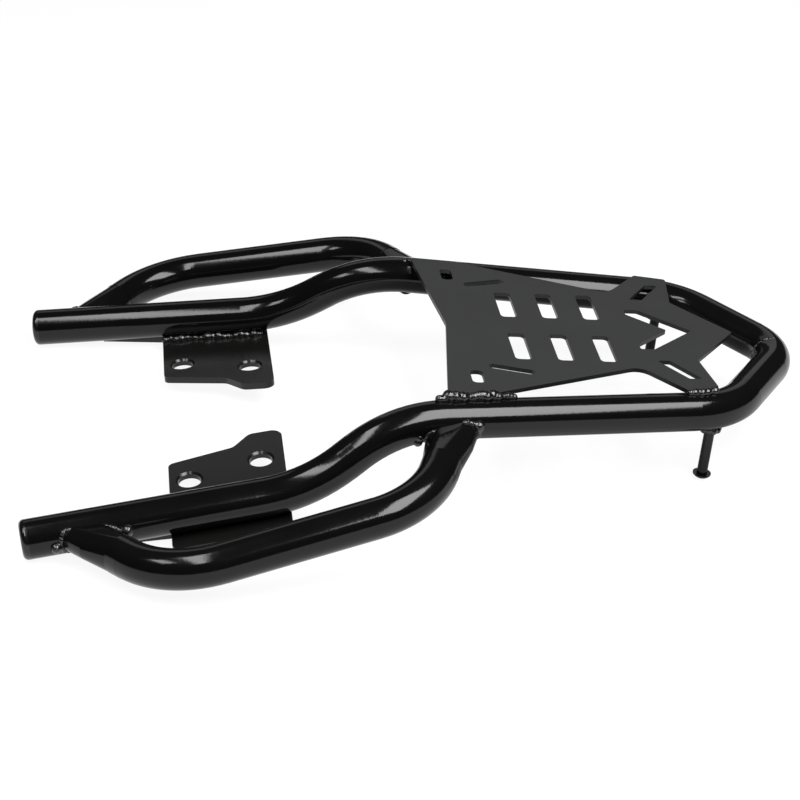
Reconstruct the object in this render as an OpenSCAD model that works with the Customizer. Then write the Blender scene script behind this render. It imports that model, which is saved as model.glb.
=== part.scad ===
// Rear luggage rack of a motorcycle: two bent rails that meet in a closed tail, a grab handle on each
// side, two drilled brackets under the legs and a slotted luggage plate across the rails.
// X runs towards the tail, Y to the right and Z up. The origin is the middle of the plate's upper face.
// Left is the -Y side. Everything on the right is the left side's mirror image.

/* [Tubes] */
// Outside diameter of every tube
tube_d = 22; // [18:0.5:26]
// Wall thickness of the tubes
tube_wall = 2; // [1.2:0.1:3]
// How much the wall draws in on each side of the tube where it is bent
bend_draw = 0.05; // [0.02:0.01:0.2]

/* [Rails] */
// How far the legs reach ahead of the plate's middle
leg_reach = 301.5; // [260:1:340]
// Half the distance between the legs' axes at their front ends
leg_half_width = 124; // [110:1:140]
// How far the legs' front ends lie below the upper rails
leg_drop = 62; // [50:1:75]
// Where the leg's axis turns upwards, ahead of the plate's middle
kick_reach = 149; // [138:1:165]
// Half the distance between the rails' axes at that turn
kick_half_width = 107; // [100:1:115]
// How far that turn lies below the upper rails
kick_drop = 37; // [30:1:45]
// Where the upper rail begins, ahead of the plate's middle
rail_reach = 102; // [96:1:108]
// Half the distance between the upper rails' axes at their front
rail_half_width = 94; // [88:1:100]
// Where the upper rail turns inwards, behind the plate's middle
shoulder_reach = 90.5; // [84:0.5:100]
// Half the distance between the upper rails' axes at that turn
shoulder_half_width = 71.5; // [66:0.5:78]
// Where the two rails' axes would cross at the tail
tail_reach = 140; // [130:1:155]
// Bend radius where the leg turns up
kick_bend = 96; // [60:1:100]
// Bend radius where the upper rail levels out
level_bend = 80; // [50:1:84]
// Bend radius at the rear shoulder
shoulder_bend = 47; // [35:1:50]
// Bend radius of the tail
tail_bend = 31.5; // [24:0.5:40]

/* [Grab handles] */
// Distance along the leg from its front end to the handle's axis
handle_front = 29.5; // [24:0.5:40]
// How far the handle's axis passes below the leg's axis there
handle_front_drop = 0.8; // [0.5:0.1:3]
// How far the handle's outer front bend lies ahead of the plate's middle
grip_front_reach = 226; // [210:1:240]
// Half the width across the handles' axes at that bend
grip_front_half_width = 178; // [165:1:190]
// How far that bend lies below the upper rails
grip_front_drop = 49; // [44:1:56]
// How far the handle's outer rear bend lies ahead of the plate's middle
grip_rear_reach = 92.5; // [85:0.5:100]
// Half the width across the handles' axes at that bend
grip_rear_half_width = 156.5; // [148:0.5:165]
// How far that bend lies below the upper rails
grip_rear_drop = 14; // [8:1:20]
// Where the handle's axis meets the upper rail, ahead of the plate's middle
handle_rear = 68; // [60:1:74]
// How far the handle's rear end sits below the rail's axis
handle_rear_drop = 3.4; // [1:0.1:6]
// Bend radius at the front of the grip
grip_front_bend = 52; // [40:1:56]
// Bend radius at the rear of the grip
grip_rear_bend = 48; // [38:1:52]
// Width of the handles' pressed ends
end_w = 27; // [23:0.5:29]
// Height of the handles' pressed ends
end_h = 13; // [10:0.5:18]
// Length of the pressed ends from the axis that they land on, taper included
end_l = 38; // [30:1:40]
// Length of the pressed ends before the taper begins
end_flat_l = 20; // [12:1:24]
// Turn of the rear pressed ends about the handle, tail side up
rear_end_turn = 12; // [0:1:20]
// Gap left at the coped ends of the handles
cope_gap = 0.05; // [0.02:0.01:0.2]

/* [Luggage plate] */
// Thickness of the plate
plate_t = 2.5; // [2:0.1:4]
// Where the front edge crosses the centreline, ahead of the plate's middle
plate_front = 64; // [58:1:70]
// Where the front corners lie, ahead of the plate's middle
plate_front_corner = 74.5; // [70:0.5:80]
// How far the plate's side edges stay inside the rails' axes
plate_inset = 3.5; // [1:0.5:5]
// How far the ends of its rear arms stay inside the rails' axes
arm_inset = 1; // [0.5:0.5:4]
// Where the side edges leave the rails, ahead of the plate's middle
side_leave = 49; // [40:0.5:56]
// Place of the waist's corner, behind the plate's middle
waist_x = 41.5; // [39:0.5:44]
// Half the plate's width at that corner
waist_half = 47.5; // [46.5:0.5:52]
// Corner radius of the waist
waist_r = 10; // [4:0.5:12]
// Where the front edges of the rear arms meet the rails
arm_front = 63.5; // [60:0.5:66]
// Where the rear edges of the rear arms meet the rails
arm_rear = 82.5; // [78:0.5:88]
// Place of the inner corners of the rear edge
notch_x = 78; // [74:0.5:82]
// Half the distance between those corners
notch_half = 37; // [33:0.5:42]
// Where the pointed rear tip lies
plate_tip = 107.5; // [98:0.5:112]
// Radius of the plate's outer corners
plate_corner_r = 2; // [0.5:0.5:4]

/* [Strap slots] */
// Length of the strap slots across the rack
slot_l = 32; // [24:0.5:34]
// Width of the strap slots
slot_w = 9.6; // [6:0.2:12]
// Corner radius of the strap slots
slot_r = 2.6; // [1:0.1:2.9]
// Distance between the slots along the rack
slot_pitch = 24.8; // [20:0.2:26]
// Distance of the slots' middles from the centreline
slot_offset = 26.5; // [22:0.5:28]
// Number of strap slots on each side
slot_count = 3; // [1:1:3]
// Place of the short front slots, ahead of the plate's middle
short_slot_x = 55; // [52:0.5:58]
// Distance of the short front slots from the centreline
short_slot_y = 65; // [60:0.5:70]
// Length of the short front slots
short_slot_l = 14; // [10:0.5:16]
// Width of the short front slots
short_slot_w = 7; // [5:0.2:8]
// Width of the narrow slanted slots
narrow_slot_w = 5.2; // [3:0.2:6]
// Length of the narrow slots between the middles of their round ends
narrow_slot_l = 21; // [12:1:24]
// Place of the narrow slots, ahead of the plate's middle
narrow_slot_x = 33.8; // [30:0.2:36]
// Distance of the narrow slots from the centreline
narrow_slot_y = 55; // [52:0.5:60]
// Turn of the narrow slots from the rack's length
narrow_slot_turn = 16; // [0:1:25]
// Place of the chevron's point, behind the plate's middle
chevron_tip = 82.6; // [76:0.5:84]
// Width of the chevron along the rack at its point
chevron_w = 15; // [8:0.2:16]
// Half the width across the chevron
chevron_half = 25.2; // [18:0.2:28]
// Place of its arms' rear corners, behind the plate's middle
chevron_back = 55; // [52:0.5:58]
// Length of the flat ends of its arms
chevron_end = 8.2; // [4:0.2:10]
// Corner radius of the chevron
chevron_r = 1; // [0.5:0.1:1.5]
// Place of the inner ends of the slots in the rear arms, behind the plate's middle
arm_slot_x = 57; // [55:0.5:60]
// Distance of those ends from the centreline
arm_slot_y = 39; // [37:0.5:42]
// Reach of the arm slots along the rack
arm_slot_run = 14.6; // [8:0.1:16]
// Reach of the arm slots across the rack
arm_slot_rise = 21; // [14:0.5:23]
// Width of the arm slots along the rack
arm_slot_w = 8; // [4:0.2:9]
// Corner radius of the arm slots
arm_slot_r = 1.2; // [0.4:0.1:1.5]

/* [Brackets] */
// Thickness of the bracket plates
bracket_t = 4; // [3:0.1:6]
// Tilt of the brackets about the legs, inner edge up
bracket_tilt = 4; // [0:0.5:8]
// Distance along the leg from its front end to the bracket's front edge
bracket_front = 79.6; // [74:0.2:84]
// Length of the bracket along the leg
bracket_l = 66; // [62:0.5:72]
// Reach of the bracket's front corner inside the leg's axis
bracket_in_front = 62.5; // [58:0.5:66]
// Reach of the bracket's inner edge where its lobe begins
bracket_in_middle = 68.5; // [65:0.5:72]
// Reach of the bracket's rear lobe inside the leg's axis
bracket_in_rear = 79; // [76:0.5:84]
// Distance along the leg from the front edge to the start of the lobe
lobe_u = 45; // [42:0.5:48]
// Length of the slope into the lobe
lobe_slope = 11; // [6:0.5:14]
// Reach of the bracket outside the leg's axis
bracket_out = 17; // [14:0.5:20]
// Corner radius of the lobe
lobe_r = 6; // [3:0.5:7]
// Radius of the bracket's other corners
bracket_r = 4; // [2:0.5:6]
// Diameter of the fixing holes
bolt_hole_d = 13; // [8:0.5:14]
// Diameter of the holes' countersunk rims
rim_d = 15.3; // [14:0.1:18]
// Distance along the leg from the front edge to the front hole
front_hole_u = 16.4; // [15:0.2:20]
// Distance of the front hole from the leg's axis
front_hole_v = 44.6; // [40:0.2:50]
// Distance along the leg from the front edge to the rear hole
rear_hole_u = 58.3; // [54:0.1:60]
// Distance of the rear hole from the leg's axis
rear_hole_v = 52.6; // [48:0.2:60]
// Length of the tapered web under the leg ahead of the bracket
web_l = 37; // [20:1:44]
// Width of that web
web_w = 5; // [4:0.5:8]
// Depth of the web where it meets the bracket
web_depth = 3.5; // [2:0.1:4]
// Gap left between the leg and the bracket for the weld
bracket_gap = 0.05; // [0.02:0.01:0.2]

/* [Strap pegs] */
// Diameter of the peg's shank
peg_d = 6; // [5:0.5:8]
// Length of the shank below the rail
peg_l = 30; // [20:0.5:36]
// Diameter of the peg's button head
peg_head_d = 10.5; // [9:0.5:14]
// Height of the button head
peg_head_h = 3.3; // [2.5:0.1:5]
// Place of the pegs, behind the plate's middle
peg_x = 81; // [76:0.5:86]

/* [End plugs] */
// Height of the plug's head outside the tube
plug_head = 4; // [2.5:0.5:6]
// Edge radius of the plug's head
plug_edge_r = 3; // [1:0.5:3.5]
// Length of the plug's stem inside the tube
plug_stem = 12; // [8:1:18]
// Clearance between the plug's ribs and the tube
plug_gap = 0.1; // [0.05:0.05:0.3]
// Number of ribs on the plug's stem
plug_ribs = 3; // [2:1:4]

/* [Welds] */
// Radius of the fillet beads along the plate
plate_bead_r = 3; // [2:0.1:4]
// Length of the fillet beads along the plate's side edges
side_bead_l = 34; // [25:1:36]
// Radius of the fillet beads along the brackets
bracket_bead_r = 3; // [2:0.1:3.5]
// How far the collars stand proud where the handles are welded on
joint_bead = 2; // [1.2:0.1:3]
// Height of the weld collars round the pegs
peg_bead = 2.6; // [1.5:0.1:4]
// How far the butt weld stands proud at the tail
tail_bead = 0.7; // [0.4:0.1:1.2]

/* [Hidden] */
$fn = 128;
// Length by which a straight stretch runs into the bend after it
lap = 0.5;
// How much slimmer the pressed ends are drawn where they leave the round tube
press_draw = 0.3;
// Overrun of a cutter past the face it cuts
over = 1;
// Angle between two points on a rounded corner
arc_step = 11;

tube_r = tube_d / 2;
bore_d = tube_d - 2 * tube_wall;
rail_z = -plate_t - tube_r;

// Axis of the left rail from the front of the leg to the tail, with the first corner past the tail
front_end = [-leg_reach, -leg_half_width, rail_z - leg_drop];
kick = [-kick_reach, -kick_half_width, rail_z - kick_drop];
level = [-rail_reach, -rail_half_width, rail_z];
shoulder = [shoulder_reach, -shoulder_half_width, rail_z];
tail = [tail_reach, 0, rail_z];
leg_dir = unit(kick - front_end);
rail_dir = unit(shoulder - level);
rail_path = [front_end + leg_dir * plug_head, kick, level, shoulder, tail, flip(shoulder)];
rail_bends = [kick_bend, level_bend, shoulder_bend, tail_bend];

// Axis of the left grab handle, from the leg to the upper rail
handle_path = [
    front_end + leg_dir * handle_front - [0, 0, handle_front_drop],
    [-grip_front_reach, -grip_front_half_width, rail_z - grip_front_drop],
    [-grip_rear_reach, -grip_rear_half_width, rail_z - grip_rear_drop],
    level + rail_dir * (rail_reach - handle_rear) / rail_dir[0] - [0, 0, handle_rear_drop]
];
handle_bends = [grip_front_bend, grip_rear_bend];
// The same axis with the pressed ends left off
grip_path = [
    handle_path[0] + run_dir(handle_path, 0) * (end_l - 1), handle_path[1], handle_path[2],
    handle_path[3] - run_dir(handle_path, 2) * (end_l - 1)
];

// Directions of the bracket: along the leg, inwards in its own plane, and up through it
leg_in = unit([0, 1, 0] - leg_dir * leg_dir[1]);
bracket_in = leg_in * cos(bracket_tilt) + cross(leg_dir, leg_in) * sin(bracket_tilt);
bracket_up = cross(leg_dir, bracket_in);
// The bracket's end edges run straight across the rack, so they slant against the leg
end_slant = leg_dir[1] / leg_dir[0];

// Place of the left peg under the shoulder bend
shoulder_centre = bend_centre(rail_path, rail_bends, 3);
peg_y = shoulder_centre[1] - sqrt(pow(shoulder_bend, 2) - pow(peg_x - shoulder_centre[0], 2));
peg_top = rail_z - tube_r;

// Corners of the luggage plate's left half
front_corner = [-plate_front_corner, rail_y(-plate_front_corner) + plate_inset];
leave_corner = [-side_leave, rail_y(-side_leave) + plate_inset];
arm_corner = [arm_front, rail_y(arm_front) + arm_inset];
arm_rear_run = arm_rear - shoulder_centre[0];
arm_rear_y = shoulder_centre[1] - sqrt(pow(shoulder_bend, 2) - pow(arm_rear_run, 2)) + arm_inset;
arm_edge = [arm_rear, arm_rear_y];

// Small helpers for points
function unit(v) = v / norm(v);
function flip(p) = [p[0], -p[1], p[2]];

// Bent tubes: a path is a list of corner points and each inner corner has a bend radius
function run_dir(path, i) = unit(path[i + 1] - path[i]);
function turn(path, i) = acos(run_dir(path, i - 1) * run_dir(path, i));
function setback(path, bends, i) =
    i == 0 || i == len(path) - 1 ? 0 : bends[i - 1] * tan(turn(path, i) / 2);
function bend_in(path, i) =
    unit(run_dir(path, i) - run_dir(path, i - 1) * (run_dir(path, i) * run_dir(path, i - 1)));
function bend_start(path, bends, i) = path[i] - run_dir(path, i - 1) * setback(path, bends, i);
function bend_centre(path, bends, i) = bend_start(path, bends, i) + bend_in(path, i) * bends[i - 1];

// Sideways place of the left upper rail's axis at a place along the rack
function rail_y(x) = level[1] + (shoulder[1] - level[1]) * (x - level[0]) / (shoulder[0] - level[0]);

// Rounded outlines: each corner of a counterclockwise list is a point and a radius
function corner(c, i) = [c[(i + len(c)) % len(c)][0], c[(i + len(c)) % len(c)][1]];
function to_last(c, i) = unit(corner(c, i - 1) - corner(c, i));
function to_next(c, i) = unit(corner(c, i + 1) - corner(c, i));
function half_angle(c, i) = acos(to_last(c, i) * to_next(c, i)) / 2;
function round_reach(c, i) = c[i][2] / tan(half_angle(c, i));
function round_centre(c, i) =
    corner(c, i) + unit(to_last(c, i) + to_next(c, i)) * c[i][2] / sin(half_angle(c, i));
function sweep(c, i) = (cross(to_last(c, i), to_next(c, i)) < 0 ? 1 : -1) * (180 - 2 * half_angle(c, i));
function arc(c, i) = let (
        middle = round_centre(c, i),
        first = corner(c, i) + to_last(c, i) * round_reach(c, i) - middle,
        start = atan2(first[1], first[0]),
        steps = ceil(abs(sweep(c, i)) / arc_step)
    )
    [for (k = [0 : steps])
        middle + c[i][2] * [cos(start + sweep(c, i) * k / steps), sin(start + sweep(c, i) * k / steps)]];

module rounded(c) {
    polygon([for (i = [0 : len(c) - 1]) each arc(c, i)]);
}

// Puts its children in a frame given by an origin and three directions
module place(at, x, y, z) {
    multmatrix([
        [x[0], y[0], z[0], at[0]],
        [x[1], y[1], z[1], at[1]],
        [x[2], y[2], z[2], at[2]],
        [0, 0, 0, 1]
    ]) children();
}

// Frame with its origin at a point and its Z axis towards another
module point_from(from, to) {
    along = unit(to - from);
    side = unit(cross([0, 0, 1], along));
    place(from, cross(side, along), side, along) children();
}

module section(d_out, d_in) {
    difference() {
        circle(d = d_out);
        if (d_in > 0) circle(d = d_in);
    }
}

// Straight stretch i of a bent tube, lapping into the bends at its ends
module straight(path, bends, i, d_out, d_in) {
    start = setback(path, bends, i) - (i == 0 ? 0 : lap);
    end = setback(path, bends, i + 1) - (i == len(path) - 2 ? 0 : lap);
    from = path[i] + run_dir(path, i) * start;
    to = path[i + 1] - run_dir(path, i) * end;
    point_from(from, to) linear_extrude(norm(to - from)) section(d_out, d_in);
}

// Bend at corner i of a bent tube, or only the first share of it
module bend(path, bends, i, d_out, d_in, share = 1) {
    out = -bend_in(path, i);
    along = run_dir(path, i - 1);
    place(bend_centre(path, bends, i), out, along, cross(out, along))
        rotate_extrude(angle = turn(path, i) * share)
            translate([bends[i - 1], 0]) section(d_out - 2 * bend_draw, d_in > 0 ? d_in + 2 * bend_draw : 0);
}

module left_rail() {
    color("#161617") difference() {
        union() {
            for (i = [0 : 3]) straight(rail_path, rail_bends, i, tube_d, bore_d);
            for (i = [1 : 3]) bend(rail_path, rail_bends, i, tube_d, bore_d);
            bend(rail_path, rail_bends, 4, tube_d, bore_d, 0.6);
        }
        translate([shoulder_reach, 0, rail_z - tube_d]) cube([tail_reach, tube_d, 2 * tube_d]);
    }
}

// The stretches of the rail that other pieces are fitted to, as solid bars of diameter d
module leg_bar(d) {
    straight(rail_path, rail_bends, 0, d, 0);
}

module level_bar(d) {
    bend(rail_path, rail_bends, 2, d, 0);
    straight(rail_path, rail_bends, 2, d, 0);
}

module shoulder_bar(d) {
    bend(rail_path, rail_bends, 3, d, 0);
}

module tail_bar(d) {
    bend(rail_path, rail_bends, 4, d, 0);
}

// Bar that tapers from round to a flat oval, with the oval at its start and grown by a margin all round
module pressed_bar(grow, longer) {
    reach = (end_w - end_h) / 2;
    round_d = tube_d - 2 * press_draw + 2 * grow;
    hull() {
        translate([0, 0, end_l - 1]) cylinder(h = 1 + longer, d = round_d, $fn = 64);
        for (side = [-1, 1]) translate([0, side * reach, -longer])
            cylinder(h = end_flat_l + longer, d = end_h + 2 * grow, $fn = 64);
    }
}

module front_end_bar(grow, longer) {
    point_from(handle_path[0], handle_path[1]) pressed_bar(grow, longer);
}

module rear_end_bar(grow, longer) {
    point_from(handle_path[3], handle_path[2]) rotate(rear_end_turn) pressed_bar(grow, longer);
}

module left_handle() {
    thinner = 2 * press_draw - tube_wall;
    color("#161617") difference() {
        union() {
            for (i = [0 : 2]) straight(grip_path, handle_bends, i, tube_d, bore_d);
            for (i = [1 : 2]) bend(grip_path, handle_bends, i, tube_d, bore_d);
            difference() {
                front_end_bar(0, 0);
                front_end_bar(thinner, over);
            }
            difference() {
                rear_end_bar(0, 0);
                rear_end_bar(thinner, over);
            }
        }
        leg_bar(tube_d + 2 * cope_gap);
        level_bar(tube_d + 2 * cope_gap);
    }
}

module slot(w, l, r) {
    rounded([[-w / 2, -l / 2, r], [w / 2, -l / 2, r], [w / 2, l / 2, r], [-w / 2, l / 2, r]]);
}

module narrow_slot() {
    rotate(-narrow_slot_turn) slot(narrow_slot_l + narrow_slot_w, narrow_slot_w, narrow_slot_w * 0.49);
}

module arm_slot() {
    w = arm_slot_w / 2;
    rounded([
        [-w, 0, arm_slot_r], [arm_slot_run - w, -arm_slot_rise, arm_slot_r],
        [arm_slot_run + w, -arm_slot_rise, arm_slot_r], [w, 0, arm_slot_r]
    ]);
}

module chevron() {
    end_x = chevron_back - chevron_end;
    inner_x = chevron_tip - chevron_w;
    inner_y = (inner_x - end_x) * chevron_half / (chevron_tip - chevron_back);
    rounded([
        [chevron_tip, 0, chevron_r], [chevron_back, chevron_half, chevron_r],
        [end_x, chevron_half, chevron_r], [end_x, inner_y, chevron_r], [inner_x, 0, chevron_r],
        [end_x, -inner_y, chevron_r], [end_x, -chevron_half, chevron_r],
        [chevron_back, -chevron_half, chevron_r]
    ]);
}

module plate_outline() {
    r = plate_corner_r;
    rounded([
        [-plate_front, 0, r], [front_corner[0], front_corner[1], r], [leave_corner[0], leave_corner[1], r],
        [waist_x, -waist_half, waist_r], [arm_corner[0], arm_corner[1], r], [arm_rear, arm_rear_y, r],
        [notch_x, -notch_half, r], [plate_tip, 0, r], [notch_x, notch_half, r],
        [arm_rear, -arm_rear_y, r], [arm_corner[0], -arm_corner[1], r], [waist_x, waist_half, waist_r],
        [leave_corner[0], -leave_corner[1], r], [front_corner[0], -front_corner[1], r]
    ]);
}

module luggage_plate() {
    first = -slot_pitch * (slot_count - 1) / 2;
    color("#404042") translate([0, 0, -plate_t]) linear_extrude(plate_t) difference() {
        plate_outline();
        chevron();
        for (side = [0, 1]) mirror([0, side]) {
            for (i = [0 : slot_count - 1])
                translate([first + i * slot_pitch, -slot_offset]) slot(slot_w, slot_l, slot_r);
            translate([-short_slot_x, -short_slot_y]) slot(short_slot_w, short_slot_l, slot_r);
            translate([-narrow_slot_x, -narrow_slot_y]) narrow_slot();
            translate([arm_slot_x, -arm_slot_y]) arm_slot();
        }
    }
}

// Frame of the left bracket: X along the leg from the bracket's front edge, Y inwards, Z = 0 at its top
module in_bracket_frame() {
    top = front_end + leg_dir * bracket_front - bracket_up * (tube_r + bracket_gap);
    place(top, leg_dir, bracket_in, bracket_up) children();
}

function front_u(v) = v * end_slant;
function rear_u(v) = bracket_l + v * end_slant;

module bracket_outline() {
    rounded([
        [front_u(-bracket_out), -bracket_out, bracket_r], [rear_u(-bracket_out), -bracket_out, bracket_r],
        [rear_u(bracket_in_rear), bracket_in_rear, lobe_r], [lobe_u + lobe_slope, bracket_in_rear, lobe_r],
        [lobe_u, bracket_in_middle, lobe_r], [front_u(bracket_in_front), bracket_in_front, bracket_r]
    ]);
}

// Hole with a countersunk rim, drilled down from Z = 0
module fixing_hole() {
    sink = (rim_d - bolt_hole_d) / 2;
    translate([0, 0, -bracket_t - over]) cylinder(h = bracket_t + 2 * over, d = bolt_hole_d);
    translate([0, 0, -sink]) cylinder(h = sink + over, d1 = bolt_hole_d, d2 = rim_d + 2 * over);
}

// Tapered web under the leg, from the bracket's front edge forwards
module web() {
    difference() {
        in_bracket_frame() translate([0, web_w / 2, 0]) rotate([90, 0, 0]) linear_extrude(web_w) polygon([
            [-web_l, over], [-web_l, -0.3], [0, -web_depth], [over, -web_depth], [over, over]
        ]);
        leg_bar(tube_d + 2 * bracket_gap);
    }
}

module left_bracket() {
    color("#3b3936") {
        difference() {
            in_bracket_frame() translate([0, 0, -bracket_t]) linear_extrude(bracket_t) bracket_outline();
            in_bracket_frame() translate([front_hole_u, front_hole_v, 0]) fixing_hole();
            in_bracket_frame() translate([rear_hole_u, rear_hole_v, 0]) fixing_hole();
        }
        web();
    }
}

// Mushroom-headed peg that hangs from the rail, with its dome downwards
module left_peg() {
    crown = peg_head_h * 0.8;
    r = peg_head_d / 2;
    dome = (r * r + crown * crown) / (2 * crown);
    color("#1a1a1c") {
        difference() {
            translate([peg_x, peg_y, peg_top - peg_l]) cylinder(h = peg_l + tube_wall, d = peg_d);
            shoulder_bar(tube_d);
        }
        translate([peg_x, peg_y, peg_top - peg_l - peg_head_h]) intersection() {
            cylinder(h = peg_head_h, d = peg_head_d);
            translate([0, 0, dome]) sphere(dome);
        }
    }
}

// Plug turned about the leg's axis: a rounded head outside and a ribbed stem inside the tube
module left_end_plug() {
    r = tube_r;
    rib_r = bore_d / 2 - plug_gap;
    rib_pitch = plug_stem / (plug_ribs + 0.5);
    core_r = rib_r - 1.2;
    color("#121213") point_from(front_end, kick) rotate_extrude() difference() {
        union() {
            square([r - plug_edge_r, plug_head]);
            translate([0, plug_edge_r]) square([r, plug_head - plug_edge_r]);
            intersection() {
                translate([r - plug_edge_r, plug_edge_r]) circle(plug_edge_r);
                square([r, plug_edge_r]);
            }
            translate([0, plug_head]) square([core_r, plug_stem]);
            for (i = [1 : plug_ribs]) translate([0, plug_head + i * rib_pitch]) polygon([
                [0, -1], [core_r, -1], [rib_r, 0], [rib_r, 0.6], [core_r, 1], [0, 1]
            ]);
        }
        translate([-over, plug_head]) square([core_r - 1.6 + over, plug_stem + over]);
    }
}

// Section of the front fillets between the rail and the plate's side edge, seen along the rail
module plate_bead_section() {
    edge = plate_inset * rail_dir[0];
    difference() {
        translate([edge, tube_r - 0.3]) circle(plate_bead_r);
        circle(tube_r);
        translate([edge, tube_r]) square([tube_d, tube_d]);
    }
}

module half_plate_welds() {
    start = (-plate_front_corner - 1 - level[0]) / rail_dir[0];
    inwards = [-rail_dir[1], rail_dir[0], 0];
    place(level + rail_dir * start, inwards, [0, 0, 1], rail_dir)
        linear_extrude(side_bead_l) plate_bead_section();
    arm = unit(arm_edge - arm_corner);
    from = arm_corner + arm * 3;
    place(concat(from, -plate_t), [-arm[1], arm[0], 0], [0, 0, 1], concat(arm, 0))
        linear_extrude(norm(arm_edge - from) - 3) intersection() {
            circle(plate_bead_r);
            translate([-plate_bead_r, 0]) square([plate_bead_r, plate_t + over]);
        }
}

module plate_welds() {
    color("#1d1d1e") {
        half_plate_welds();
        mirror([0, 1, 0]) half_plate_welds();
    }
}

// Section of the fillet between the leg's inner side and the bracket, seen along the leg
module bracket_bead_section() {
    floor_y = -tube_r - bracket_gap;
    difference() {
        translate([7, floor_y + 0.9]) circle(bracket_bead_r);
        circle(tube_r);
        translate([-tube_d, floor_y - tube_d]) square([2 * tube_d, tube_d]);
    }
}

module left_bracket_weld() {
    start = bracket_front + front_u(bracket_out) + 1;
    color("#1d1d1e") place(front_end + leg_dir * start, bracket_in, bracket_up, leg_dir)
        linear_extrude(bracket_l - 2 * front_u(bracket_out) - 2) bracket_bead_section();
}

// Collar where the handle meets the leg: what lies close to both tubes and inside neither
module left_handle_front_weld() {
    color("#1d1d1e") difference() {
        intersection() {
            front_end_bar(joint_bead, 0);
            leg_bar(tube_d + 1.8 * joint_bead);
        }
        front_end_bar(0, over);
        leg_bar(tube_d);
    }
}

// Collar where the handle meets the upper rail
module left_handle_rear_weld() {
    color("#1d1d1e") difference() {
        intersection() {
            rear_end_bar(joint_bead, 0);
            level_bar(tube_d + 1.8 * joint_bead);
        }
        rear_end_bar(0, over);
        level_bar(tube_d);
    }
}

module left_peg_weld() {
    r = peg_d / 2;
    difference() {
        translate([peg_x, peg_y, peg_top]) rotate_extrude() polygon([
            [r, over], [r + 2.8, over], [r + 2.6, -0.3], [r + 0.7, -peg_bead], [r, -peg_bead]
        ]);
        shoulder_bar(tube_d);
    }
}

module peg_welds() {
    color("#1d1d1e") {
        left_peg_weld();
        mirror([0, 1, 0]) left_peg_weld();
    }
}

// Butt weld on the inner side of the tail
module tail_weld() {
    apex = bend_centre(rail_path, rail_bends, 4) + [tail_bend, 0, 0];
    r = 1.9;
    color("#1d1d1e") difference() {
        place(apex, [sin(10), 0, -cos(10)], [-cos(10), 0, -sin(10)], [0, 1, 0])
            rotate_extrude(angle = 200) translate([tube_r + tail_bead - r, 0]) circle(r);
        tail_bar(tube_d);
    }
}

left_rail();
mirror([0, 1, 0]) left_rail();  // right_rail
left_handle();
mirror([0, 1, 0]) left_handle();  // right_handle
left_bracket();
mirror([0, 1, 0]) left_bracket();  // right_bracket
luggage_plate();
left_peg();
mirror([0, 1, 0]) left_peg();  // right_peg
left_end_plug();
mirror([0, 1, 0]) left_end_plug();  // right_end_plug
plate_welds();
left_bracket_weld();
mirror([0, 1, 0]) left_bracket_weld();  // right_bracket_weld
left_handle_front_weld();
mirror([0, 1, 0]) left_handle_front_weld();  // right_handle_front_weld
left_handle_rear_weld();
mirror([0, 1, 0]) left_handle_rear_weld();  // right_handle_rear_weld
peg_welds();
tail_weld();
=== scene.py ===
# %% [markdown]
# # A tubular luggage rack
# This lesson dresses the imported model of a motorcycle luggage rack: bent black tubes, a slotted plate,
# two brackets and the weld beads that hold them together. The model arrives as a fixed frame in
# metres: X points to the tail, Y to the right-hand side and Z up. Everything below is added round it.

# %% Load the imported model
import bpy
import math
import random
from mathutils import Matrix, Vector


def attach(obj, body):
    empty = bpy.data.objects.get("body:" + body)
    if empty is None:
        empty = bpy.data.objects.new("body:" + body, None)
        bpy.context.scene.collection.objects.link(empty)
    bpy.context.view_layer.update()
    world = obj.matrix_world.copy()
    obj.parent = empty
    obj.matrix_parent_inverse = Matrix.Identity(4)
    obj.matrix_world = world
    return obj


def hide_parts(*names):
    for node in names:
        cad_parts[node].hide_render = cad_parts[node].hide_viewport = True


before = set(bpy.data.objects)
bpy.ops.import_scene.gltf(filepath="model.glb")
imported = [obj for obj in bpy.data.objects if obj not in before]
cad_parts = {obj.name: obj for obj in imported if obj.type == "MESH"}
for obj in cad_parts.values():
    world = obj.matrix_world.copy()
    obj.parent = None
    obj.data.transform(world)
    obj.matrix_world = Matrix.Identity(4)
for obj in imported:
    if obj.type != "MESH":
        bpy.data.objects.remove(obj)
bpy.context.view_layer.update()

# %% [markdown]
# ## Camera
# The photograph was taken with a long lens from the rack's left side, a little ahead of it, looking
# down at about 28 degrees. A camera could be aimed by eye with a constraint. Here the place and the
# three directions come from fitting the tubes' outlines to the picture, so they are given as numbers.

# %% Camera
CAMERA_PLACE = (-0.27430, -1.10941, 0.55615)
CAMERA_RIGHT = Vector((0.98868, -0.11537, 0.09594))
CAMERA_DOWN = Vector((0.02836, -0.48419, -0.87450))
CAMERA_FORWARD = Vector((0.14735, 0.86732, -0.47544))

camera_data = bpy.data.cameras.new("camera")
camera_data.sensor_width = 36
camera_data.lens = 97.67
camera_data.clip_end = 30
camera = bpy.data.objects.new("camera", camera_data)
bpy.context.scene.collection.objects.link(camera)
turn = Matrix((CAMERA_RIGHT, -CAMERA_DOWN, -CAMERA_FORWARD)).transposed()
camera.matrix_world = Matrix.Translation(CAMERA_PLACE) @ turn.to_4x4()
bpy.context.scene.camera = camera
print("camera looks", round(math.degrees(math.asin(-CAMERA_FORWARD.z)), 1), "degrees down")

# %% [markdown]
# ## Floor
# The rack stands on a white studio floor on its two leg ends and its two pegs, and its deck tips
# forwards by about four degrees when it rests like that. The rack could be turned to match, but the
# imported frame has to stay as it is. So the floor is one flat face, laid at that slope under the rack
# and a hair below the metal.

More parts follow.
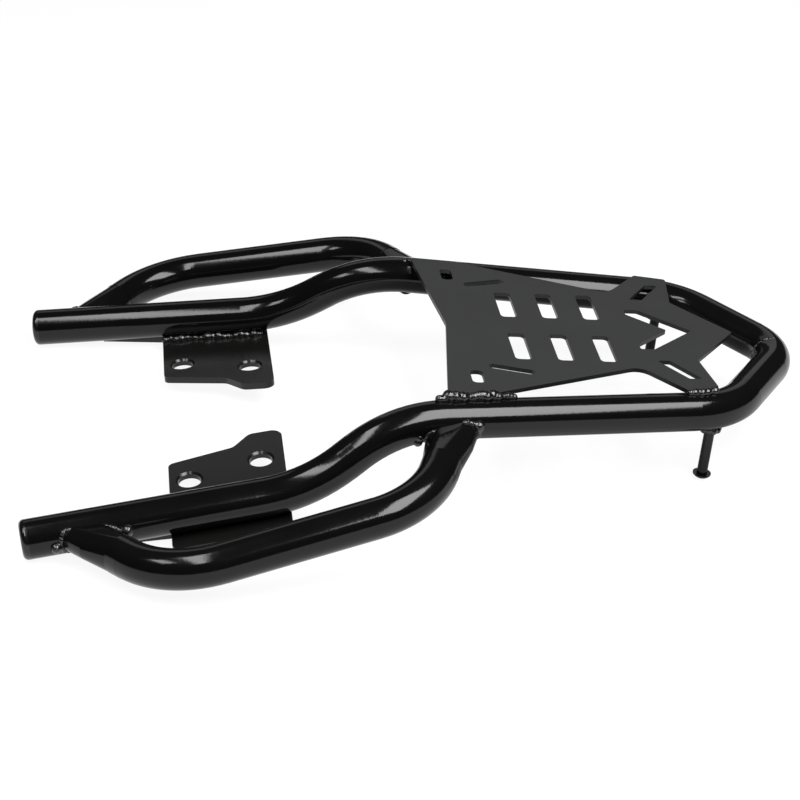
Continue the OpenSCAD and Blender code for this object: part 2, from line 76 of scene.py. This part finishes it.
# %% Floor under the leg ends and the pegs
FLOOR_HALF = 12.0
FLOOR_GAP = 0.0002
LEG_END_X = -0.300
LEG_END_FOOT = -0.0865
PEG_X = 0.081
PEG_FOOT = -0.0578

slope = math.atan2(PEG_FOOT - LEG_END_FOOT, PEG_X - LEG_END_X)
corners = []
for x, y in ((-1, -1), (1, -1), (1, 1), (-1, 1)):
    height = LEG_END_FOOT - FLOOR_GAP + math.tan(slope) * (x * FLOOR_HALF - LEG_END_X)
    corners.append((x * FLOOR_HALF, y * FLOOR_HALF, height))
floor_mesh = bpy.data.meshes.new("floor")
floor_mesh.from_pydata(corners, [], [(0, 1, 2, 3)])
floor = bpy.data.objects.new("floor", floor_mesh)
bpy.context.scene.collection.objects.link(floor)
print("floor slopes by", round(math.degrees(slope), 2), "degrees")


# %% [markdown]
# ## Shader sums
# A finish is a tree of nodes, and a tree is hard to read in code. A sum is easy to read. So this small
# class wraps a socket, and each operator on it adds the Math node that does the same sum.

# %% A socket that takes part in sums
class Flow:
    def __init__(self, tree, socket):
        self.tree = tree
        self.socket = socket

    def math(self, operation, *values):
        node = self.tree.nodes.new("ShaderNodeMath")
        node.operation = operation
        for place, value in enumerate((self,) + values):
            plug(self.tree, value, node.inputs[place])
        return Flow(self.tree, node.outputs[0])

    def __add__(self, other):
        return self.math("ADD", other)

    def __mul__(self, other):
        return self.math("MULTIPLY", other)

    def __sub__(self, other):
        return self.math("SUBTRACT", other)

    def __rsub__(self, other):
        return (self * -1.0) + other

    __radd__ = __add__
    __rmul__ = __mul__


def plug(tree, value, socket):
    if isinstance(value, Flow):
        tree.links.new(value.socket, socket)
    else:
        socket.default_value = value


print("made Flow, which knows +, - and *")


# %% [markdown]
# ## A finish and its nodes
# Every coat on this rack drifts a little in colour and gloss over the metal. A picture could be painted
# for each piece, but it would need unwrapping and would show seams. A noise on Object coordinates needs
# neither, and it stays in place on the piece. One method adds any node: it takes the node's type, its
# settings, and its sockets by name or number. The short methods after it are made with that one.

# %% A material with its own helpers for nodes
NOISE_LOW = 0.3
NOISE_HIGH = 0.7


class Finish:
    def __init__(self, name):
        self.material = bpy.data.materials.new(name)
        self.material.use_nodes = True
        self.tree = self.material.node_tree
        self.shader = self.tree.nodes["Principled BSDF"]
        self.place = self.flow(self.node("ShaderNodeTexCoord", {}, {}), "Object")
        print("finish", name)

    def node(self, kind, settings, sockets):
        node = self.tree.nodes.new(kind)
        for key, value in settings.items():
            setattr(node, key, value)
        for key, value in sockets.items():
            plug(self.tree, value, node.inputs[key])
        return node

    def flow(self, node, output):
        return Flow(self.tree, node.outputs[output])

    def noise(self, scale, detail):
        sockets = {"Vector": self.place, "Scale": scale, "Detail": detail}
        return self.flow(self.node("ShaderNodeTexNoise", {}, sockets), "Fac")

    def between(self, value, low, high, to_low, to_high):
        sockets = {"Value": value, "From Min": low, "From Max": high, "To Min": to_low, "To Max": to_high}
        return self.flow(self.node("ShaderNodeMapRange", {}, sockets), "Result")

    def drift(self, noise, low, high):
        # A noise seldom leaves the middle of its range, so only that part is spread out.
        return self.between(noise, NOISE_LOW, NOISE_HIGH, low, high)

    def mix(self, share, first, second):
        # A Mix node has sockets for several kinds of data, and its colours are inputs 6 and 7, output 2.
        sockets = {0: share, 6: first, 7: second}
        return self.flow(self.node("ShaderNodeMix", {"data_type": "RGBA"}, sockets), 2)

    def bump(self, height, strength, distance):
        sockets = {"Strength": strength, "Distance": distance, "Height": height}
        self.set("Normal", self.flow(self.node("ShaderNodeBump", {}, sockets), "Normal"))

    def set(self, name, value):
        plug(self.tree, value, self.shader.inputs[name])


def grey(value, warm=0.0):
    return (value * (1 + warm), value, value * (1 - warm), 1.0)


print("a warm grey", grey(0.5, warm=0.02))

# %% [markdown]
# ## Floor finish
# The floor is plain white. A bright lamp could turn it white, but it would also wash out the black
# paint. So the floor glows by itself, only to rays that see it straight, in a mirror or through glass,
# and its dull surface adds the light and the soft shadow. The plate keeps light off the floor below
# it, so a painted shade darkens the floor that the tubes mirror there.

# %% Floor finish
FLOOR_GLOW = 0.92
SHADE_MIDDLE_X = 0.01
SHADE_ALONG = (0.1, 0.18)
SHADE_ACROSS = (0.07, 0.12)
# The colour of the painted shade under the plate, seen only in mirrors.
PAINTED_SHADE_COLOUR = grey(0.3)

ground = Finish("studio_floor")
ground.set("Base Color", grey(0.12))
ground.set("Roughness", 0.9)
ground.set("Specular IOR Level", 0.1)
rays = ground.node("ShaderNodeLightPath", {}, {})
mirrored_floor = ground.flow(rays, "Is Glossy Ray")
seen = ground.flow(rays, "Is Camera Ray") + mirrored_floor + ground.flow(rays, "Is Transmission Ray")
parts = ground.node("ShaderNodeSeparateXYZ", {}, {"Vector": ground.place})
along = (ground.flow(parts, "X") - SHADE_MIDDLE_X).math("ABSOLUTE")
across = ground.flow(parts, "Y").math("ABSOLUTE")
# Painted shade: a soft patch under the plate where the glow that the tubes mirror is darker.
painted_shade = ground.between(across, *SHADE_ACROSS, 1.0, 0.0) * ground.between(along, *SHADE_ALONG, 1.0, 0.0)
ground.set("Emission Color", ground.mix(painted_shade * mirrored_floor, grey(1.0), PAINTED_SHADE_COLOUR))
ground.set("Emission Strength", seen * FLOOR_GLOW)
floor.data.materials.append(ground.material)

# %% [markdown]
# ## Lamps
# Gloss black tube shows each lamp as a long pale streak, and it stays black between them. Bulbs or a
# bright sky could light the rack too, but bulbs leave dots and a sky turns the paint grey. So these
# are wide soft boxes. Where each one hangs was worked out backwards, by mirroring the camera's rays in
# the tubes at the streaks of the photograph.


# %% Lamps
def lamp(name, place, aim, width, depth, watts):
    data = bpy.data.lights.new(name, "AREA")
    data.shape = "RECTANGLE"
    data.size = width
    data.size_y = depth
    data.energy = watts
    softbox = bpy.data.objects.new(name, data)
    bpy.context.scene.collection.objects.link(softbox)
    way = Vector(aim) - Vector(place)
    softbox.matrix_world = Matrix.Translation(place) @ way.to_track_quat("-Z", "Y").to_matrix().to_4x4()
    print(name, width, "by", depth, "m,", watts, "W")


lamp("right_softbox", (0.31, -0.72, 1.08), aim=(0.31, -0.72, 0), width=0.72, depth=1.3, watts=34)
lamp("left_softbox", (-0.645, -0.45, 1.0), aim=(-0.645, -0.45, 0), width=0.21, depth=1.1, watts=7.7)
lamp("side_softbox", (-1.125, -0.28, 1.0), aim=(-1.125, -0.28, 0), width=0.27, depth=0.44, watts=3.6)
lamp("back_softbox", (0.1, 1.6, 0.9), aim=(0.0, 0, 0), width=1.6, depth=0.6, watts=1.6)

# %% [markdown]
# ## Dim room
# Round the rack the studio is dark. The world could be left black, but then the undersides would go
# solid black, so it gives a faint even light. The Standard view shows each colour as it is written.

# %% Dim room
ROOM_STRENGTH = 0.03

world = bpy.data.worlds.new("room")
world.use_nodes = True
background = world.node_tree.nodes["Background"]
background.inputs["Color"].default_value = grey(1.0)
background.inputs["Strength"].default_value = ROOM_STRENGTH
bpy.context.scene.world = world
bpy.context.scene.view_settings.view_transform = "Standard"
print("lamps", len(bpy.data.lights), "and a room of strength", ROOM_STRENGTH)

# %% [markdown]
# ## Coat of the tubes
# The tubes wear a thick gloss black coat. It is put on as powder and baked, so it is never quite flat:
# a fine ripple, called orange peel, breaks up the edges of the reflections. The ripple could be in the
# mesh, but it is far smaller than a face of a tube, so a noise feeds a faint bump instead.

# %% Gloss black coat of the tubes
tube_paint = Finish("gloss_black_coat")
ripple = tube_paint.noise(scale=420.0, detail=2.0)
cloud = tube_paint.noise(scale=38.0, detail=3.0)
tube_paint.set("Base Color", tube_paint.mix(cloud, grey(0.0022), grey(0.0034)))
tube_paint.set("Roughness", tube_paint.drift(cloud, 0.1, 0.14))
tube_paint.set("Specular IOR Level", 0.33)
tube_paint.bump(ripple, strength=0.06, distance=0.0004)

# %% [markdown]
# ## Coat of the plate
# The plate is satin: it shows the lamps only as an even, slightly blue grey. A dimmer lamp over it
# would dull the tubes as well, so the difference has to sit in the coat. More roughness spreads each
# lamp out, and the grain is much finer than the tubes' ripple, as it is on thinly coated sheet.

# %% Satin coat of the plate
plate_paint = Finish("satin_charcoal_coat")
grain = plate_paint.noise(scale=1600.0, detail=2.0)
cloud = plate_paint.noise(scale=22.0, detail=3.0)
plate_paint.set("Base Color", plate_paint.mix(cloud, grey(0.0105, warm=-0.03), grey(0.014, warm=-0.03)))
plate_paint.set("Roughness", plate_paint.drift(cloud, 0.32, 0.38))
plate_paint.bump(grain, strength=0.1, distance=0.0002)

# %% [markdown]
# ## Coat of the brackets
# The brackets lie between tube and plate in gloss, and they are a touch warmer. They could share the
# plate's coat, but the far one mirrors the dark leg above it in the photograph, and a satin as dull as
# the plate's would hide that. So they have the same steps with less roughness.

# %% Satin coat of the brackets
bracket_paint = Finish("satin_brown_grey_coat")
grain = bracket_paint.noise(scale=1400.0, detail=2.0)
cloud = bracket_paint.noise(scale=45.0, detail=3.0)
bracket_paint.set("Base Color", bracket_paint.mix(cloud, grey(0.0045, warm=0.03), grey(0.007, warm=0.04)))
bracket_paint.set("Roughness", bracket_paint.drift(cloud, 0.17, 0.22))
bracket_paint.set("Specular IOR Level", 0.4)
bracket_paint.bump(grain, strength=0.15, distance=0.0002)

# %% [markdown]
# ## Coat over weld metal
# The same black coat lies over the welds, but the metal below it is rough, so small glints sit close
# together there. The mesh could hold that roughness, but it would take far too many faces. A clear
# layer over a strong, uneven bump gives both the gloss and the glints.

# %% Coat over weld metal
weld_paint = Finish("coated_weld_metal")
ripple = weld_paint.noise(scale=600.0, detail=3.0)
weld_paint.set("Base Color", weld_paint.mix(ripple, grey(0.003), grey(0.006)))
weld_paint.set("Roughness", weld_paint.drift(ripple, 0.12, 0.26))
weld_paint.set("Coat Weight", 0.3)
weld_paint.set("Coat Roughness", 0.08)
weld_paint.bump(ripple, strength=0.5, distance=0.0008)

# %% [markdown]
# ## Plastic of the plugs
# The legs' open ends are closed with pressed-in black plastic plugs. They could wear the tubes' coat,
# but moulded plastic is a little duller, with a grain too fine to show as more than a soft edge on the
# highlight. So the plugs get a finish of their own.

# %% Black plastic of the plugs
plug_plastic = Finish("black_plug_plastic")
grain = plug_plastic.noise(scale=2200.0, detail=2.0)
plug_plastic.set("Base Color", plug_plastic.mix(grain, grey(0.003), grey(0.005)))
plug_plastic.set("Roughness", plug_plastic.drift(grain, 0.14, 0.2))
plug_plastic.bump(grain, strength=0.1, distance=0.0001)

# %% [markdown]
# ## Who wears what
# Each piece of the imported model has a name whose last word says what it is. The finishes could be given
# one piece at a time, but a table from that word to the finish is shorter and misses none. Only the
# material changes: the piece itself stays as it was packed.

# %% Give each piece its finish
finishes = {
    "rail": tube_paint, "handle": tube_paint, "peg": tube_paint, "plate": plate_paint,
    "bracket": bracket_paint, "plug": plug_plastic, "weld": weld_paint, "welds": weld_paint,
}
for name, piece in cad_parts.items():
    finish = finishes[name.split("_")[-1]]
    for slot in piece.material_slots:
        slot.material = finish.material
    print(name, "wears", finish.material.name)

# %% [markdown]
# ## Lines of the tubes
# The beads lie where metal meets metal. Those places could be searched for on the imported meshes, but
# the lines that the tubes follow give them exactly: the leg from its front end to the kick, the upper
# rail from its start to the shoulder, and the two ends of the handle. Lengths are in metres, and only
# the left side is drawn, because the right one is its mirror image.

# %% Lines of the tubes
TUBE_R = 0.011
RAIL_Z = -0.0135
HANDLE_FRONT = 0.0295
HANDLE_FRONT_DROP = 0.0008
HANDLE_REAR = 0.034
HANDLE_REAR_DROP = 0.0034
TAILWARDS = Vector((1, 0, 0))
RIGHTWARDS = Vector((0, 1, 0))
UP = Vector((0, 0, 1))

leg_front = Vector((-0.3015, -0.124, RAIL_Z - 0.062))
kick = Vector((-0.149, -0.107, RAIL_Z - 0.037))
level = Vector((-0.102, -0.094, RAIL_Z))
shoulder = Vector((0.0905, -0.0715, RAIL_Z))
grip_front = Vector((-0.226, -0.178, RAIL_Z - 0.049))
grip_rear = Vector((-0.0925, -0.1565, RAIL_Z - 0.014))
leg_way = (kick - leg_front).normalized()
rail_way = (shoulder - level).normalized()
handle_front = leg_front + leg_way * HANDLE_FRONT - UP * HANDLE_FRONT_DROP
handle_rear = level + rail_way * (HANDLE_REAR / rail_way.x) - UP * HANDLE_REAR_DROP
print("handle lands at", handle_front, "and", handle_rear)

# %% [markdown]
# ## Saddle curves
# Each handle end is pressed to a flat oval and cut so that it sits on the round tube like a saddle, and
# its bead follows that cut. A boolean of the two tubes could give the curve, but in loose pieces. Here
# a line is drawn along the handle from each point of the oval, and where it meets the round tube is
# the answer of a quadratic. The points are five degrees apart, counted from the oval's top: 18 faces
# the tail, 36 is the bottom and 54 faces the front.

# %% The saddle curve where a pressed handle end lands on a tube
PRESSED_HALF_WIDTH = 0.0135
PRESSED_R = 0.0065
SADDLE_STEPS = 72


def saddle(end, outer, axis_point, axis_way, turned):
    way = (end - outer).normalized()
    level_side = way.cross(UP).normalized()
    level_top = level_side.cross(way)
    side = level_side * math.cos(math.radians(turned)) + level_top * math.sin(math.radians(turned))
    top = side.cross(way)
    slide = way - axis_way * way.dot(axis_way)
    points = []
    for step in range(SADDLE_STEPS + 1):
        angle = math.radians(360 * step / SADDLE_STEPS)
        half = math.copysign(PRESSED_HALF_WIDTH - PRESSED_R, math.sin(angle))
        start = outer + side * (half + PRESSED_R * math.sin(angle)) + top * PRESSED_R * math.cos(angle)
        across = (start - axis_point) - axis_way * (start - axis_point).dot(axis_way)
        a = slide.dot(slide)
        b = across.dot(slide)
        c = across.dot(across) - TUBE_R * TUBE_R
        root = b * b - a * c
        if root > 0:
            points.append(start + way * ((-b - math.sqrt(root)) / a))
    return points


front_saddle = saddle(handle_front, grip_front, leg_front, leg_way, turned=0)
rear_saddle = saddle(handle_rear, grip_rear, level, rail_way, turned=12)
for name, line in (("front", front_saddle), ("rear", rear_saddle)):
    print(name, [tuple(round(v * 1000) for v in line[step]) for step in (0, 18, 36, 54)])

# %% [markdown]
# ## Steps along a line
# A welder moves on by about the same step after each puddle. An Array modifier could space copies along
# a curve, but here each puddle gets a size and a place of its own, so the places are worked out one by
# one. The right-hand lines are the left-hand ones with Y turned round.


# %% Even steps along a line, and the same line on the other side
def spread(line, pitch):
    places = [line[0]]
    left = pitch
    for first, second in zip(line, line[1:]):
        length = (second - first).length
        while left <= length:
            places.append(first.lerp(second, left / length))
            left += pitch
        left -= length
    return places


def mirrored(line):
    return [Vector((place.x, -place.y, place.z)) for place in line]


def on_side(side, lines):
    return [(line if side == "left" else mirrored(line), radius) for line, radius in lines]


print("puddles 2 mm apart round the front saddle:", len(spread(front_saddle, 0.002)))

# %% [markdown]
# ## Weld beads
# A weld bead is a row of small puddles, each frozen on top of the last one. It could be a swept tube
# with a bump, but the bump would leave its outline smooth. So a bead is a row of balls half sunk in
# the joint, each a little off the line and of its own size. A remesh melts them into one skin, and a
# smoothing softens it. The pitch counts in radii of the ball, and the seed fixes the draws, so that
# the bead comes out the same each time.

# %% A bead of frozen puddles along lines, each line with its own radius
PUDDLE_WANDER = 0.22
PUDDLE_SIZES = (0.7, 1.18)
SKIN_STEP = 0.00042


def bead(name, lines, pitch, seed):
    chance = random.Random(seed)
    bpy.ops.object.select_all(action="DESELECT")
    bpy.ops.mesh.primitive_ico_sphere_add(subdivisions=1, radius=0.001, location=lines[0][0][0])
    piece = bpy.context.object
    piece.name = name
    bpy.ops.object.transform_apply(location=True, rotation=True, scale=True)
    bpy.ops.object.mode_set(mode="EDIT")
    for line, radius in lines:
        for place in spread(line, pitch * radius):
            shift = Vector((chance.uniform(-1, 1), chance.uniform(-1, 1), chance.uniform(-0.4, 0.8)))
            size = radius * chance.uniform(*PUDDLE_SIZES)
            bpy.ops.mesh.primitive_ico_sphere_add(
                subdivisions=2, radius=size, location=place + shift * radius * PUDDLE_WANDER)
    bpy.ops.object.mode_set(mode="OBJECT")
    melt = piece.modifiers.new("melt", "REMESH")
    melt.mode = "VOXEL"
    melt.voxel_size = SKIN_STEP
    bpy.ops.object.modifier_apply(modifier="melt")
    soften = piece.modifiers.new("soften", "SMOOTH")
    soften.factor = 0.5
    soften.iterations = 3
    bpy.ops.object.modifier_apply(modifier="soften")
    bpy.ops.object.shade_smooth()
    piece.data.materials.clear()
    piece.data.materials.append(weld_paint.material)
    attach(piece, "root")
    print(name, "has", len(piece.data.polygons), "faces")
    return piece


print("puddles are", PUDDLE_SIZES[0], "to", PUDDLE_SIZES[1], "of their line's radius")

# %% [markdown]
# ## Beads of the handles
# A thin bead runs all round each saddle. It could be even, but a welder lingers at the corners, and
# that leaves the lumps that the photograph shows. On the leg they sit ahead of the joint and behind it.
# On the rail one fills the crotch ahead of the handle, and one stands on the corner that faces the
# tail. Each lump is a short stretch of the saddle curve, moved and fattened.

# %% Lines of the handles' front beads
SADDLE_BEAD_R = 0.0019
CORNER_R = 0.003
TOE_R = 0.0034
TOE_FORWARDS = 0.0028
HEEL_R = 0.0031
HEEL_BACK = 0.0030
HEEL_LIFT = Vector((0, 0.0005, 0.0016))

toe = [place - leg_way * TOE_FORWARDS for place in front_saddle[50:56]]
heel = [place + leg_way * HEEL_BACK + HEEL_LIFT for place in front_saddle[15:19]]
corner = front_saddle[14:21]
front_lines = [(front_saddle, SADDLE_BEAD_R), (corner, CORNER_R), (toe, TOE_R), (heel, HEEL_R)]
print("front bead follows", len(front_lines), "lines")

# %% Lines of the handles' rear beads
CROTCH_R = 0.0031
CROTCH_FORWARDS = 0.0042
CROTCH_DROP = 0.001
CROWN_R = 0.0037
CROWN_LIFT = 0.0012

crotch = [place - rail_way * CROTCH_FORWARDS - UP * CROTCH_DROP for place in rear_saddle[48:57]]
crown = [place + UP * CROWN_LIFT for place in rear_saddle[15:22]]
corner = rear_saddle[49:57]
rear_lines = [(rear_saddle, SADDLE_BEAD_R), (crown, CROWN_R), (corner, CORNER_R), (crotch, CROTCH_R)]
print("rear bead follows", len(rear_lines), "lines")

# %% Beads round the ends of the handles
for number, side in enumerate(("left", "right")):
    joint = bead(side + "_handle_front_bead", on_side(side, front_lines), pitch=1.0, seed=11 + number)
    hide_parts(side + "_handle_front_weld")
    joint = bead(side + "_handle_rear_bead", on_side(side, rear_lines), pitch=1.0, seed=21 + number)
    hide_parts(side + "_handle_rear_weld")

# %% [markdown]
# ## Beads of the plate
# The plate is welded to the rails at its two front corners and at the ends of its two rear arms. One
# side could mirror the other, but the two differ in the photograph. On the left the front bead climbs
# over the plate's edge and is thickest in its middle. On the right the beads stay below the plate's
# upper face, so they are thinner and lower.


# %% Beads along the plate
def rail_line(first, last, inset, height):
    points = []
    for x in (first, last):
        y = level.y + (shoulder.y - level.y) * (x - level.x) / (shoulder.x - level.x)
        points.append(Vector((x, y + inset, height)))
    return points


FRONT_BEAD_R = 0.0024
MIDDLE_BEAD_R = 0.0033
ARM_BEAD_R = 0.0026
LOW_BEAD_R = 0.0023
ARM_BEAD = ((0.0655, -0.0733, -0.0020), (0.0735, -0.0722, -0.0020), (0.0815, -0.0700, -0.0020))
ARM_LOWER = 0.0014

front_bead = rail_line(-0.0790, -0.0365, inset=0.0024, height=-0.0018)
front_middle = rail_line(-0.0735, -0.0450, inset=0.0030, height=-0.0012)
low_bead = rail_line(-0.0770, -0.0400, inset=0.0010, height=-0.0040)
arm_bead = [Vector(place) for place in ARM_BEAD]
arm_low = [place - UP * ARM_LOWER for place in arm_bead]
left_lines = [(front_bead, FRONT_BEAD_R), (front_middle, MIDDLE_BEAD_R), (arm_bead, ARM_BEAD_R)]
right_lines = on_side("right", [(low_bead, LOW_BEAD_R), (arm_low, LOW_BEAD_R)])
plate_beads = bead("plate_beads", left_lines + right_lines, pitch=0.8, seed=31)
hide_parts("plate_welds")

# %% [markdown]
# ## Beads of the brackets
# Each bracket hangs under its leg, and one long bead fills the corner between them, on the side that
# faces the middle. The bead could be laid by eye, but the bracket tips by four degrees about the leg,
# so the corner is worked out from the leg's line and that tilt.

# %% Beads under the legs, along the brackets
BRACKET_TILT = math.radians(4)
BRACKET_BEAD_R = 0.0032
BRACKET_BEAD_START = 0.082
BRACKET_BEAD_LENGTH = 0.062
BRACKET_BEAD_IN = 0.0078
BRACKET_BEAD_SUNK = 0.0006

leg_in = (RIGHTWARDS - leg_way * leg_way.y).normalized()
bracket_in = leg_in * math.cos(BRACKET_TILT) + leg_way.cross(leg_in) * math.sin(BRACKET_TILT)
bracket_up = leg_way.cross(bracket_in)
start = leg_front + leg_way * BRACKET_BEAD_START + bracket_in * BRACKET_BEAD_IN
start = start - bracket_up * (TUBE_R - BRACKET_BEAD_SUNK)
for number, side in enumerate(("left", "right")):
    lines = on_side(side, [([start, start + leg_way * BRACKET_BEAD_LENGTH], BRACKET_BEAD_R)])
    bracket_bead = bead(side + "_bracket_bead", lines, pitch=1.15, seed=41 + number)
    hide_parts(side + "_bracket_weld")

# %% [markdown]
# ## Beads of the pegs
# The pegs are welded to the rails' undersides all round. A torus could stand for that collar, but it
# would be too even, so the puddles run round a ring of points instead.


# %% Beads round the pegs
def ring(centre, radius, across, up, first, last, count):
    points = []
    for step in range(count + 1):
        angle = math.radians(first + (last - first) * step / count)
        points.append(centre + (across * math.sin(angle) + up * math.cos(angle)) * radius)
    return points


COLLAR_RING_R = 0.0042
COLLAR_BEAD_R = 0.0026

peg = Vector((PEG_X, -0.07108, -0.0250))
collar = ring(peg, COLLAR_RING_R, TAILWARDS, RIGHTWARDS, first=0, last=360, count=24)
collars = [(collar, COLLAR_BEAD_R), (mirrored(collar), COLLAR_BEAD_R)]
peg_beads = bead("peg_beads", collars, pitch=0.95, seed=51)
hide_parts("peg_welds")

# %% [markdown]
# ## Seam at the tail
# The two rails meet at the tail in a butt weld that is dressed almost flush. It could be left out, but
# it shows as a thin raised line on the side that faces the plate. So it is a thin bead too, sunk deep
# and laid over a little more than half of the tube.

# %% Seam at the tail
SEAM_SUNK = 0.0008
SEAM_BEAD_R = 0.0013

tail = Vector((0.13305, 0, RAIL_Z))
seam = ring(tail, TUBE_R - SEAM_SUNK, -TAILWARDS, UP, first=-5, last=185, count=36)
tail_bead = bead("tail_bead", [(seam, SEAM_BEAD_R)], pitch=0.9, seed=61)
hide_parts("tail_weld")
